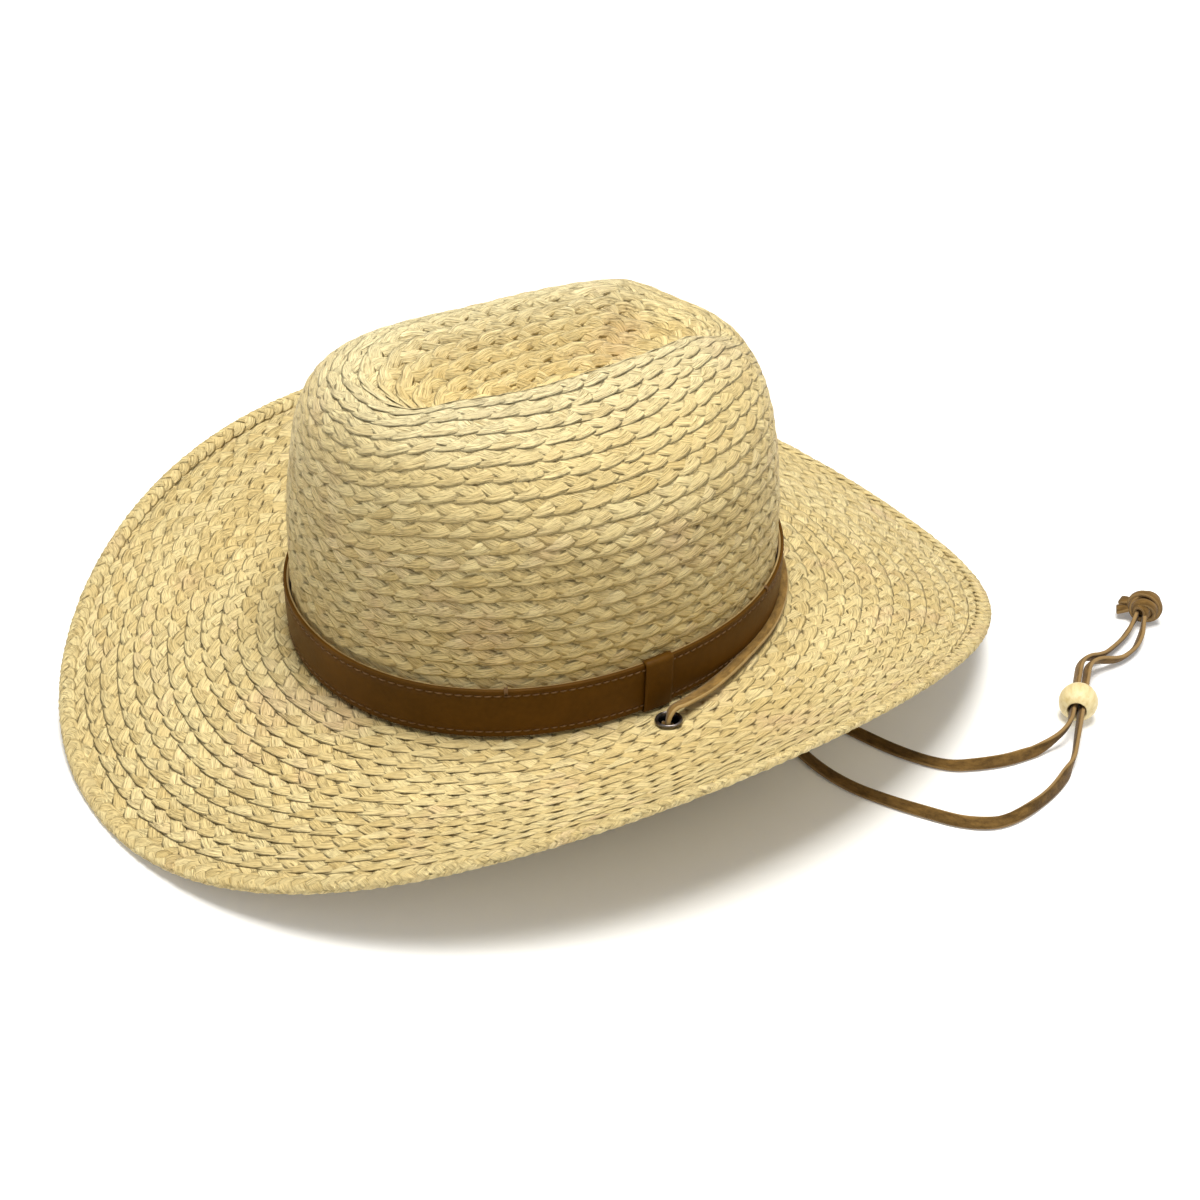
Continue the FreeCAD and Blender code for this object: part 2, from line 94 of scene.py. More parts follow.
def ease(t):
    t = np.clip(t, 0.0, 1.0)
    return t * t * (3.0 - 2.0 * t)


def round_turn(count):
    return np.arange(count) * TAU / count


def oval(half_x, half_y, power, phi):
    c = np.cos(phi)
    s = np.sin(phi)
    reach = (np.abs(c / half_x) ** power + np.abs(s / half_y) ** power) ** (-1.0 / power)
    return reach * c, reach * s


def crest_point(phi):
    s = np.sin(phi)
    half_x = CREST_X_FRONT + (CREST_X_BACK - CREST_X_FRONT) * (s + 1.0) / 2.0
    half_y = np.where(s < 0, CREST_FRONT, CREST_BACK)
    x, y = oval(half_x, half_y, CREST_POWER, phi)
    level = (CREST_Z_FRONT + CREST_Z_BACK) / 2.0
    level = level + (CREST_Z_BACK - CREST_Z_FRONT) / 2.0 * np.clip(y / 60.0, -1.0, 1.0)
    level = level - CREST_DROP_FRONT * ease((-y - CREST_END) / (CREST_FRONT - CREST_END))
    level = level - CREST_DROP_BACK * ease((y - CREST_END) / (CREST_BACK - CREST_END))
    return vec(x, y, level)


def wall_height(phi):
    s = np.sin(phi)
    return SHOULDER_SIDE + np.where(s < 0, SHOULDER_FRONT, SHOULDER_BACK) * s * s


def wall_scale(t):
    return 1.0 - WALL_LEAN * t ** 3 + WALL_BULGE * np.sin(0.85 * math.pi * t)


def crown_profile(phi, s):
    """Outside of the crown. s is 0 at the brim, 0.5 at the wall's top, 1 on the crest, 2 in the crease."""
    x, y = oval(BASE_X, BASE_Y, BASE_POWER, phi)
    top = wall_height(phi)
    crest = crest_point(phi)
    side = np.cos(phi) ** 2
    front = np.sin(phi) < 0

    t = np.clip(s, 0.0, 0.5) * 2.0
    scale = wall_scale(t)
    wall = vec(x * scale, y * scale, top * t)

    t = np.clip(s * 2.0 - 1.0, 0.0, 1.0)
    u = 1.0 - t
    rise = 34.0 * side + np.where(front, 28.0, 24.0) * (1.0 - side)
    reach = 0.28 * side + 0.50 * (1.0 - side)
    end = wall_scale(1.0)
    start = vec(x * end, y * end, top)
    above = vec(x * (end - 0.03), y * (end - 0.03), top + rise)
    beside = vec(crest[..., 0] + (x * end - crest[..., 0]) * reach,
                 crest[..., 1] + (y * end - crest[..., 1]) * reach, crest[..., 2] - SIDE_DENT * side)
    weights = [u ** 3, 3 * t * u * u, 3 * t * t * u, t ** 3]
    shoulder = sum(p * w[..., None] for p, w in zip((start, above, beside, crest), weights))

    t = np.clip(s - 1.0, 0.0, 1.0)
    floor_y = CREASE_Y + crest[..., 1] * CREASE_LONG
    level = crest[..., 2] + (CREASE_Z - crest[..., 2]) * ease(t ** CREASE_STEEP)
    crease = vec(crest[..., 0] * (1.0 - t), crest[..., 1] + (floor_y - crest[..., 1]) * t, level)

    low = (s <= 0.5)[..., None]
    middle = (s <= 1.0)[..., None]
    return np.where(low, wall, np.where(middle, shoulder, crease))


def crown_point(phi, s):
    """The profile with its corners eased, as steamed straw has them."""
    phi, s = np.broadcast_arrays(phi, s)
    d = np.clip(np.minimum(s - 0.5, 2.0 - s), 0.0, 0.05)
    return (crown_profile(phi, s - d) + crown_profile(phi, s) * 2.0 + crown_profile(phi, s + d)) * 0.25


def edge_point(phi):
    x, y = oval(BRIM_X, BRIM_Y, BRIM_POWER, phi)
    x = x * (1.0 + BRIM_EGG * y / BRIM_Y)
    z = EDGE_MEAN + EDGE_CURL * np.cos(2 * phi) + EDGE_FLAT * np.cos(4 * phi)
    z = z + EDGE_PITCH * np.sin(phi) + EDGE_TWIST * np.sin(3 * phi)
    return vec(x, y + BRIM_SHIFT_Y, z)


def brim_point(phi, s):
    """Top of the brim, s 0 at the crown and 1 at the edge. It curls up late and dips early."""
    phi, s = np.broadcast_arrays(phi, s)
    x, y = oval(BASE_X, BASE_Y, BASE_POWER, phi)
    outer = edge_point(phi)
    power = 1.85 + 0.35 * np.cos(2 * phi)
    z = outer[..., 2] * np.maximum(s, 0.0) ** power
    return vec(x + (outer[..., 0] - x) * s, y + (outer[..., 1] - y) * s, z)


def brim_frame(phi, s):
    out = unit(brim_point(phi, s + 0.01) - brim_point(phi, s - 0.01))
    across = brim_point(phi + 0.01, s) - brim_point(phi - 0.01, s)
    return out, unit(np.cross(out, across))


def edge_section(phi, angle):
    """Skin of the folded edge row: a squarish oval round its middle line."""
    phi, angle = np.broadcast_arrays(phi, angle)
    width = np.linalg.norm(edge_point(phi) - brim_point(phi, 0.0), axis=-1)
    s = 1.0 - EDGE_HALF_WIDTH / width
    out, up = brim_frame(phi, s)
    c = np.cos(angle)
    d = np.sin(angle)
    square = (np.abs(c) ** 2.6 + np.abs(d) ** 2.6) ** (-1.0 / 2.6)
    across = out * (EDGE_HALF_WIDTH * c * square)[..., None] + up * (EDGE_HALF_HEIGHT * d * square)[..., None]
    return brim_point(phi, s) - up * (STRAW / 2.0) + across


def wall_outward(phi):
    ax, ay = oval(BASE_X, BASE_Y, BASE_POWER, phi + 0.005)
    bx, by = oval(BASE_X, BASE_Y, BASE_POWER, phi - 0.005)
    return unit(vec(ay - by, bx - ax, 0.0))


def wall_point(phi, z, proud):
    """Point that stands proud of the crown's outside at height z."""
    phi, z, proud = np.broadcast_arrays(phi, z, proud)
    return crown_profile(phi, 0.5 * z / wall_height(phi)) + wall_outward(phi) * proud[..., None]


def eyelet_seat(side):
    """Middle of the brim's top at an eyelet, and the normal there."""
    phi = math.atan2(EYELET_Y, side * EYELET_X)
    inner = brim_point(phi, 0.0)
    outer = brim_point(phi, 1.0)
    reach = math.hypot(EYELET_X, EYELET_Y) - math.hypot(inner[0], inner[1])
    s = reach / (math.hypot(outer[0], outer[1]) - math.hypot(inner[0], inner[1]))
    return brim_point(phi, s), brim_frame(phi, s)[1]


def rest_place():
    """Turn about X and shift that stand the brim's front and back dips on the floor."""
    stations = round_turn(72)
    bottom = edge_section(stations, -math.pi / 2.0)
    front, back = (half[half[:, 2].argmin()] for half in (bottom[bottom[:, 1] < 0], bottom[bottom[:, 1] > 0]))
    angle = math.atan2(front[2] - back[2], back[1] - front[1])
    skin = edge_section(stations[:, None], round_turn(16)[None, :])
    y = skin[..., 1] * math.cos(angle) - skin[..., 2] * math.sin(angle)
    z = skin[..., 1] * math.sin(angle) + skin[..., 2] * math.cos(angle)
    return angle, np.array([0.0, -(y.min() + y.max()) / 2.0, -z.min()])


REST_ANGLE, REST_SHIFT = rest_place()


def settle(points):
    """Crown frame in mm to the row frame in metres."""
    points = np.asarray(points, float)
    c = math.cos(REST_ANGLE)
    s = math.sin(REST_ANGLE)
    x, y, z = points[..., 0], points[..., 1], points[..., 2]
    return (vec(x, y * c - z * s, y * s + z * c) + REST_SHIFT) * MM


class Skin:
    """A surface of rings, looked up by turn phi and by share of the way along its profile. Shares go by length,
    on each side of the fold if there is one, so that rows follow it. Where the surface is narrow, crowd packs
    its rows closer towards the end than at the start."""

    def __init__(self, point_at, first, last, around=1080, along=480, fold=0.0, crowd=0.0):
        phi = round_turn(around)[:, None]
        fine = point_at(phi, np.linspace(first, last, 3 * along)[None, :])
        run = np.zeros(fine.shape[:2])
        run[:, 1:] = np.cumsum(np.linalg.norm(np.diff(fine, axis=1), axis=2), axis=1)
        self.length = run[:, -1]
        share = np.linspace(0.0, 1.0, along)
        marks = run[:, [0, int(round((3 * along - 1) * fold)), -1]]
        folds = max(float((marks[:, 1] / marks[:, 2]).mean()), 1e-6)
        self.points = np.empty((around, along, 3))
        for i in range(around):
            bend = crowd * (self.length.max() / self.length[i] - 1.0)
            way = np.interp(share + bend * share * (1.0 - share), (0.0, folds, 1.0), marks[i])
            for k in range(3):
                self.points[i, :, k] = np.interp(way, run[i], fine[i, :, k])
        across = np.roll(self.points, -1, 0) - np.roll(self.points, 1, 0)
        self.normals = unit(np.cross(np.gradient(self.points, axis=1), across))
        self.around = around
        self.along = along

    def length_at(self, phi):
        at = np.arange(self.around + 1) * TAU / self.around
        return np.interp(phi % TAU, at, np.append(self.length, self.length[0]))

    def at(self, phi, share):
        """Points and normals. Past either end the surface goes straight on."""
        phi, share = np.broadcast_arrays(phi, share)
        a = (phi / TAU) % 1.0 * self.around
        i = np.floor(a).astype(int) % self.around
        u = (a - np.floor(a))[..., None]
        b = share * (self.along - 1)
        j = np.clip(np.floor(b), 0, self.along - 2).astype(int)
        v = (b - j)[..., None]
        n = (i + 1) % self.around

        def blend(table, v):
            return ((table[i, j] * (1 - v) + table[i, j + 1] * v) * (1 - u)
                    + (table[n, j] * (1 - v) + table[n, j + 1] * v) * u)

        return blend(self.points, v), unit(blend(self.normals, np.clip(v, 0.0, 1.0)))


# ---- meshes
def add_object(name, data):
    made = bpy.data.objects.new(name, data)
    bpy.context.scene.collection.objects.link(made)
    return made


def tube_faces(sections, corners, closed):
    """Quads between neighbouring sections of a tube whose points go section by section."""
    i = np.arange(sections if closed else sections - 1)[:, None]
    j = np.arange(corners)[None, :]
    here = i * corners
    there = (i + 1) % sections * corners
    after = (j + 1) % corners
    return np.stack([here + j, here + after, there + after, there + j], -1).reshape(-1, 4)


def new_piece(name, points, faces, material, weave, body):
    """Mesh object from points in metres and faces of four or more corners, turned to face outwards."""
    corners = np.concatenate([f.ravel() for f in faces])
    totals = np.concatenate([np.full(len(f), f.shape[1]) for f in faces])
    starts = np.concatenate([[0], np.cumsum(totals)[:-1]])
    fan = np.concatenate([f[:, [0, k, k + 1]] for f in faces for k in range(1, f.shape[1] - 1)])
    a, b, c = (points[fan[:, k]] for k in range(3))
    if np.einsum("ij,ij->i", a, np.cross(b, c)).sum() < 0:
        corners = np.concatenate([f[:, ::-1].ravel() for f in faces])
    mesh = bpy.data.meshes.new(name)
    mesh.vertices.add(len(points))
    mesh.vertices.foreach_set("co", np.asarray(points, np.float32).ravel())
    mesh.loops.add(len(corners))
    mesh.loops.foreach_set("vertex_index", corners.astype(np.int32))
    mesh.polygons.add(len(totals))
    mesh.polygons.foreach_set("loop_start", starts.astype(np.int32))
    mesh.update(calc_edges=True)
    mesh.validate()
    mesh.polygons.foreach_set("use_smooth", np.ones(len(mesh.polygons), bool))
    data = mesh.attributes.new("weave", "FLOAT_VECTOR", "POINT")
    data.data.foreach_set("vector", np.asarray(weave, np.float32).ravel())
    mesh.materials.append(material)
    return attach(add_object(name, mesh), body)


class Parts:
    """Collects tubes that become one piece."""

    def __init__(self):
        self.points, self.weave, self.faces, self.count = [], [], {}, 0

    def tube(self, rings, weave, closed):
        """rings is sections x corners x 3. Open tubes get a flat cap at each end."""
        sections, corners = rings.shape[:2]
        faces = [tube_faces(sections, corners, closed)]
        if not closed:
            faces += [np.arange(corners)[None, ::-1], np.arange(corners)[None, :] + (sections - 1) * corners]
        for f in faces:
            self.faces.setdefault(f.shape[1], []).append(f + self.count)
        self.points.append(rings.reshape(-1, 3))
        self.weave.append(np.broadcast_to(weave, rings.shape).reshape(-1, 3))
        self.count += sections * corners

    def piece(self, name, node, slot, material, keep=None, body="hat"):
        """The finished piece, shown in place of a CAD node. keep says for the middles of faces which stay."""
        points = np.concatenate(self.points)
        faces = [np.concatenate(f) for f in self.faces.values()]
        if keep is not None:
            faces = [f[keep(points[f].mean(axis=1))] for f in faces]
        piece = new_piece(name, points, faces, material, np.concatenate(self.weave), body)
        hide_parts(node)
        return piece


# ---- materials
class Paint:
    """A material with one Principled shader, and short ways to add nodes to it."""

    def __init__(self, name, roughness=0.5, **sockets):
        self.material = bpy.data.materials.new(name)
        self.material.use_nodes = True
        self.tree = self.material.node_tree
        self.shader = self.tree.nodes["Principled BSDF"]
        self.set("Roughness", roughness)
        for socket, value in sockets.items():
            self.set(socket.replace("_", " "), value)

    def set(self, socket, value):
        self.shader.inputs[socket].default_value = value

    def node(self, kind, inputs=(), **settings):
        made = self.tree.nodes.new(kind)
        for key, value in settings.items():
            setattr(made, key, value)
        for key, value in dict(inputs).items():
            if isinstance(value, bpy.types.NodeSocket):
                self.tree.links.new(value, made.inputs[key])
            else:
                made.inputs[key].default_value = value
        return made

    def maths(self, operation, a, b=0.0):
        return self.node("ShaderNodeMath", {0: a, 1: b}, operation=operation).outputs[0]

    def times(self, a, b):
        return self.maths("MULTIPLY", a, b)

    def scaled(self, vector, scale):
        return self.node("ShaderNodeVectorMath", {0: vector, 1: scale}, operation="MULTIPLY").outputs[0]

    def parts(self, vector):
        return tuple(self.node("ShaderNodeSeparateXYZ", {0: vector}).outputs)

    def weave(self):
        """The piece's own coordinates: along a strand in metres, across it -1 to 1, and which strand."""
        pin = self.node("ShaderNodeAttribute", attribute_name="weave", attribute_type="GEOMETRY")
        return self.parts(pin.outputs["Vector"])

    def place(self):
        return self.node("ShaderNodeTexCoord").outputs["Object"]

    def point(self, x, y, z):
        return self.node("ShaderNodeCombineXYZ", {0: x, 1: y, 2: z}).outputs[0]

    def noise(self, at, scale, detail=2.0, roughness=0.5):
        inputs = {"Vector": at, "Scale": scale, "Detail": detail, "Roughness": roughness}
        return self.node("ShaderNodeTexNoise", inputs).outputs["Fac"]

    def ramp(self, value, *stops):
        made = self.node("ShaderNodeValToRGB", {0: value})
        elements = made.color_ramp.elements
        while len(elements) < len(stops):
            elements.new(0.5)
        for element, (at, colour) in zip(elements, stops):
            element.position = at
            element.color = (*colour, 1.0)
        return made.outputs["Color"]

    def fit(self, value, low, high, start=0.0, end=1.0):
        """start..end to low..high."""
        inputs = {"Value": value, "From Min": start, "From Max": end, "To Min": low, "To Max": high}
        return self.node("ShaderNodeMapRange", inputs).outputs[0]

    def mix(self, share, a, b, blend="MIX"):
        made = self.node("ShaderNodeMix", data_type="RGBA", blend_type=blend)
        for key, value in (("Factor", share), ("A", a), ("B", b)):
            socket = next(s for s in made.inputs if s.name == key and s.enabled)
            if isinstance(value, bpy.types.NodeSocket):
                self.tree.links.new(value, socket)
            elif key == "Factor":
                socket.default_value = value
            else:
                socket.default_value = (*value, 1.0)
        return next(s for s in made.outputs if s.enabled)

    def tint(self, colour, by):
        return self.mix(1.0, colour, by, "MULTIPLY")

    def to(self, socket, value):
        self.tree.links.new(value, self.shader.inputs[socket])

    def bump(self, *layers):
        """layers are (height, strength, depth in metres)."""
        normal = None
        for height, strength, depth in layers:
            inputs = {"Height": height, "Strength": strength, "Distance": depth}
            if normal is not None:
                inputs["Normal"] = normal
            normal = self.node("ShaderNodeBump", inputs).outputs[0]
        self.to("Normal", normal)


def straw_material():
    paint = Paint("straw_plait", Specular_IOR_Level=0.35)
    along, across, strand = paint.weave()
    seed = paint.times(strand, 61.0)
    leaf = paint.noise(paint.point(paint.times(along, 9.0), seed, 0.0), 1.0, 2.0)
    fibre = paint.noise(paint.point(paint.times(along, 120.0), paint.times(across, 10.0), seed), 1.0, 3.0, 0.65)
    hair = paint.noise(paint.point(paint.times(along, 210.0), paint.times(across, 24.0), seed), 1.0, 2.0, 0.6)
    patch = paint.noise(paint.place(), 26.0, 3.0, 0.6)
    base = paint.ramp(leaf, (0.30, (0.77, 0.60, 0.27)), (0.46, (0.86, 0.695, 0.345)),
                      (0.60, (0.94, 0.795, 0.43)), (0.74, (0.89, 0.69, 0.39)))
    peach = paint.ramp(patch, (0.56, (0.0, 0.0, 0.0)), (0.72, (0.36, 0.36, 0.36)))
    colour = paint.mix(peach, base, (0.84, 0.58, 0.38))
    # Painted highlight: higher up the crown the straw is mixed towards pale cream, standing in for the light on the
    # ridge.
    painted_highlight = paint.fit(paint.parts(paint.place())[2], 0.0, 0.5, *PAINTED_HIGHLIGHT_FROM_TO)
    colour = paint.mix(painted_highlight, colour, (1.0, 0.95, 0.68))
    streak = paint.ramp(fibre, (0.34, (0.48, 0.40, 0.26)), (0.45, (0.92, 0.90, 0.84)), (0.68, (1.12, 1.11, 1.06)))
    colour = paint.tint(colour, streak)
    fine = paint.ramp(hair, (0.34, (0.76, 0.70, 0.60)), (0.48, (1.04, 1.03, 1.01)), (0.68, (1.12, 1.12, 1.10)))
    paint.to("Base Color", paint.tint(colour, fine))
    paint.to("Roughness", paint.fit(fibre, 0.42, 0.68))
    paint.bump((fibre, 1.0, 0.0010), (hair, 0.6, 0.0004))
    return paint.material


def leather_material(name, light, dark, cut_edge=None):
    """Smooth leather, or suede where cut_edge says how light its cut edges are."""
    paint = Paint(name, Specular_IOR_Level=0.08)
    place = paint.place()
    cloud = paint.noise(place, 30.0, 4.0, 0.6)
    grain = paint.node("ShaderNodeTexVoronoi", {"Vector": place, "Scale": 1500.0}).outputs["Distance"]
    crease = paint.noise(place, 420.0, 5.0, 0.7)
    cloudy = paint.maths("ADD", paint.times(cloud, 0.75), paint.times(crease, 0.25))
    face = paint.ramp(cloudy, (0.32, dark), (0.66, light))
    if cut_edge:
        along, across, strand = paint.weave()
        cut = paint.fit(paint.maths("ABSOLUTE", across), 0.0, 1.0, 0.80, 1.0)
        worn = paint.noise(paint.point(paint.times(along, 160.0), across, strand), 1.0, 4.0, 0.7)
        face = paint.tint(face, paint.ramp(worn, (0.36, (0.62, 0.60, 0.58)), (0.62, (1.22, 1.20, 1.16))))
        face = paint.mix(paint.times(cut, 0.7), face, cut_edge)
        paint.to("Roughness", paint.fit(crease, 0.78, 0.95))
        paint.set("Sheen Weight", 0.12)
        paint.set("Sheen Roughness", 0.5)
        paint.bump((crease, 0.8, 0.0004), (grain, 0.25, 0.0002))
    else:
        paint.to("Roughness", paint.fit(crease, 0.36, 0.56))
        paint.bump((grain, 0.22, 0.0002), (crease, 0.20, 0.0003))
    paint.to("Base Color", face)
    return paint.material


def thread_material():
    paint = Paint("waxed_thread", 0.6)
    along, across, _ = paint.weave()
    twist = paint.maths("SINE", paint.maths("ADD", paint.times(along, 5200.0), paint.times(across, 6.3)))
    tone = paint.noise(paint.place(), 800.0)
    paint.to("Base Color", paint.ramp(tone, (0.3, (0.11, 0.050, 0.012)), (0.7, (0.19, 0.095, 0.025))))
    paint.bump((twist, 0.6, 0.0001))
    return paint.material


def metal_material(name, light, dark, roughness=(0.18, 0.42)):
    paint = Paint(name, Metallic=1.0)
    place = paint.place()
    wear = paint.noise(place, 260.0, 5.0, 0.65)
    brush = paint.noise(place, 1800.0, 2.0)
    paint.to("Base Color", paint.ramp(wear, (0.35, dark), (0.62, light)))
    paint.to("Roughness", paint.fit(wear, *roughness))
    paint.bump((brush, 0.12, 0.0001))
    return paint.material


def grommet_material():
    """Dark plated metal, its barrel painted near black inside as painted shade down the hole."""
    paint = Paint("gunmetal_grommet", Metallic=1.0)
    height = paint.weave()[0]
    wear = paint.noise(paint.place(), 260.0, 5.0, 0.65)
    plate = paint.ramp(wear, (0.35, (0.10, 0.085, 0.08)), (0.62, (0.26, 0.23, 0.21)))
    # Painted shade: below the flange the metal turns near black, standing in for the shade inside the hole.
    above = paint.fit(height, 0.0, 1.0, -0.0004, 0.0004)
    paint.to("Base Color", paint.mix(above, (0.006, 0.005, 0.005), plate))
    paint.to("Roughness", paint.fit(wear, 0.18, 0.40))
    paint.bump((wear, 0.10, 0.0001))
    return paint.material


def tape_material():
    """Woven tape: warp and weft ridges on the sweatband."""
    paint = Paint("woven_tape", Specular_IOR_Level=0.2)
    place = paint.place()
    x, y, z = paint.parts(place)
    warp = paint.maths("SINE", paint.times(paint.maths("ARCTAN2", y, x), 620.0))
    weft = paint.maths("SINE", paint.times(z, 7000.0))
    weave = paint.times(warp, weft)
    tone = paint.noise(place, 90.0, 3.0)
    shade = paint.maths("ADD", paint.times(weave, 0.12), tone)
    paint.to("Base Color", paint.ramp(shade, (0.3, (0.42, 0.31, 0.18)), (0.7, (0.62, 0.49, 0.31))))
    paint.to("Roughness", paint.fit(tone, 0.75, 0.95))
    paint.bump((weave, 0.7, 0.0003))
    return paint.material


def wood_material():
    """Pale turned wood, its grain along the bore."""
    paint = Paint("pale_wood", Specular_IOR_Level=0.45)
    turn = paint.node("ShaderNodeVectorRotate", {"Vector": paint.place(), "Angle": math.radians(-BEAD_HEADING)},
                      rotation_type="Z_AXIS").outputs[0]
    ring = paint.noise(paint.scaled(turn, (90.0, 620.0, 620.0)), 1.0, 2.0, 0.4)
    pore = paint.noise(paint.scaled(turn, (500.0, 3800.0, 3800.0)), 1.0, 2.0)
    base = paint.ramp(ring, (0.32, (0.66, 0.52, 0.24)), (0.5, (0.73, 0.60, 0.31)), (0.7, (0.79, 0.67, 0.38)))
    dots = paint.ramp(pore, (0.26, (0.78, 0.70, 0.58)), (0.38, (1.0, 1.0, 1.0)))
    paint.to("Base Color", paint.tint(base, dots))
    paint.to("Roughness", paint.fit(ring, 0.38, 0.52))
    paint.bump((pore, 0.25, 0.0001))
    return paint.material


def floor_material():
    # Painted light: the floor glows a little, fading in from 0.10 m to 0.22 m from the middle, so it looks whiter and
    # the hat's shadow is softened.
    paint = Paint("studio_floor", 0.85, Emission_Strength=0.16)
    reach = paint.node("ShaderNodeVectorMath", {0: paint.place()}, operation="LENGTH").outputs["Value"]
    away = paint.fit(reach, 0.0, 1.0, 0.10, 0.22)
    paint.to("Emission Color", paint.mix(away, (0.0, 0.0, 0.0), (1.0, 1.0, 1.0)))
    tone = paint.noise(paint.place(), 3.0)
    paint.to("Base Color", paint.ramp(tone, (0.2, (0.90, 0.90, 0.89)), (0.8, (0.92, 0.92, 0.91))))
    return paint.material


STRAW_MATERIAL = straw_material()
BAND_MATERIAL = leather_material("band_leather", (0.125, 0.053, 0.005), (0.070, 0.029, 0.002))
SUEDE_MATERIAL = leather_material("suede_brown", (0.205, 0.116, 0.033), (0.082, 0.045, 0.011), (0.36, 0.23, 0.095))
TAN_SUEDE_MATERIAL = leather_material("suede_tan", (0.300, 0.180, 0.052), (0.165, 0.092, 0.022), (0.52, 0.37, 0.16))
THREAD_MATERIAL = thread_material()
DARK_METAL = metal_material("gunmetal", (0.20, 0.18, 0.16), (0.07, 0.06, 0.055))
GROMMET_METAL = grommet_material()
STEEL = metal_material("spring_steel", (0.55, 0.55, 0.56), (0.32, 0.32, 0.33), (0.25, 0.5))
TAPE_MATERIAL = tape_material()
WOOD_MATERIAL = wood_material()


# ---- camera
def add_camera():
    data = bpy.data.cameras.new("camera")
    data.sensor_width = 36.0
    data.lens = 69.3
    data.dof.use_dof = False
    camera = add_object("camera", data)
    place = Vector((0.65602, -0.44078, 0.57359))
    target = Vector((0.03133, 0.00663, 0.04445))
    roll = math.radians(2.5)
    aim = (target - place).to_track_quat("-Z", "Y") @ Quaternion((0.0, 0.0, 1.0), roll)
    camera.location = place
    camera.rotation_mode = "QUATERNION"
    camera.rotation_quaternion = aim
    bpy.context.scene.camera = camera


add_camera()


# ---- cords
BEAD_AXIS = np.array([math.cos(math.radians(BEAD_HEADING)), math.sin(math.radians(BEAD_HEADING)), 0.0])


def bead_point(distance, side):
    """Point of one strand through the bead, distance along the bore from its middle."""
    across = np.array([-BEAD_AXIS[1], BEAD_AXIS[0], 0.0])
    return tuple(np.array(BEAD_AT) + BEAD_AXIS * distance + across * side * STRAND_GAP / 2.0)


def through_bead(side):
    """One strand's route past the bead, straight over the stretch that the bead slides on."""
    return [bead_point(distance, side) for distance in (-19.0, -3.0, 14.0, 32.0)]


# Round the back of the crown, in the crown's frame, from one eyelet to the other.
back_half = [(98.6, -3.8, -0.6), (98.4, -3.6, 5.6), (97.2, 4.0, 4.4), (92.6, 20.5, 2.5), (85.0, 41.0, 2.4),
             (71.0, 69.4, 2.4), (47.4, 92.8, 2.3), (17.6, 105.2, 2.2)]
back_route = [tuple(p) for p in settle(back_half + [(-x, y, z) for x, y, z in reversed(back_half)]) / MM]

# The two tails, in the row frame.
left_route = [back_route[0], (98.9, -7.8, 20.5), (97.2, -11.5, 7.5), (90.0, -22.0, 1.75), (73.0, -33.0, 1.75),
              (50.0, -35.0, 1.75), (33.0, -18.0, 1.75), (33.0, 8.0, 1.75), (49.0, 31.0, 1.75), (72.0, 45.5, 1.75),
              (98.0, 51.6, 1.75), (133.0, 51.2, 1.75), (160.5, 65.0, 1.75), (187.0, 81.8, 1.75),
              (187.4, 112.0, 1.75), (176.5, 138.5, 1.75), *through_bead(-1), (134.3, 207.5, 1.75),
              (129.5, 224.0, 2.3), (119.5, 235.0, 5.6)]
right_route = [back_route[-1], (-98.9, -7.8, 20.5), (-95.5, -8.6, 7.5), (-84.0, -8.0, 1.75), (-64.0, -3.5, 1.75),
               (-37.0, 7.5, 1.75), (-10.0, 24.5, 1.75), (18.0, 44.0, 1.75), (52.0, 61.5, 1.75),
               (92.0, 71.0, 1.75), (146.1, 89.8, 1.75), (158.7, 112.8, 1.75), (161.5, 132.0, 1.75),
               *through_bead(1), (127.8, 203.6, 1.75), (122.2, 222.8, 2.3), (116.2, 234.0, 5.6)]


def smooth_line(route):
    """Points in metres of the NURBS spline whose control points are the route's."""
    curve = bpy.data.curves.new("route", "CURVE")
    curve.dimensions = "3D"
    curve.resolution_u = 14
    spline = curve.splines.new("NURBS")
    spline.points.add(len(route) - 1)
    for point, at in zip(spline.points, route):
        point.co = (*(c * MM for c in at), 1.0)
    spline.order_u = 3
    spline.use_endpoint_u = True
    holder = bpy.data.objects.new("route", curve)
    mesh = bpy.data.meshes.new_from_object(holder)
    line = np.array([v.co[:] for v in mesh.vertices])
    bpy.data.objects.remove(holder)
    bpy.data.curves.remove(curve)
    bpy.data.meshes.remove(mesh)
    return line


def carried_frames(line, up):
    """Side and up directions carried along a line without twist, from its last point back."""
    along = unit(np.gradient(line, axis=0))
    ups = np.empty_like(line)
    ups[-1] = unit(np.array(up) - along[-1] * np.dot(up, along[-1]))
    for i in range(len(line) - 2, -1, -1):
        ups[i] = unit(ups[i + 1] - along[i] * np.dot(ups[i + 1], along[i]))
    return unit(np.cross(ups, along)), ups


def lace_section(width, thickness, corners=14):
    """Cross section of cut lace: a rectangle with softened corners. Gives across and height."""
    angle = (np.arange(corners) + 0.5) * TAU / corners
    square = (np.abs(np.cos(angle)) ** 5 + np.abs(np.sin(angle)) ** 5) ** (-0.2)
    return width / 2 * np.cos(angle) * square, thickness / 2 * np.sin(angle) * square


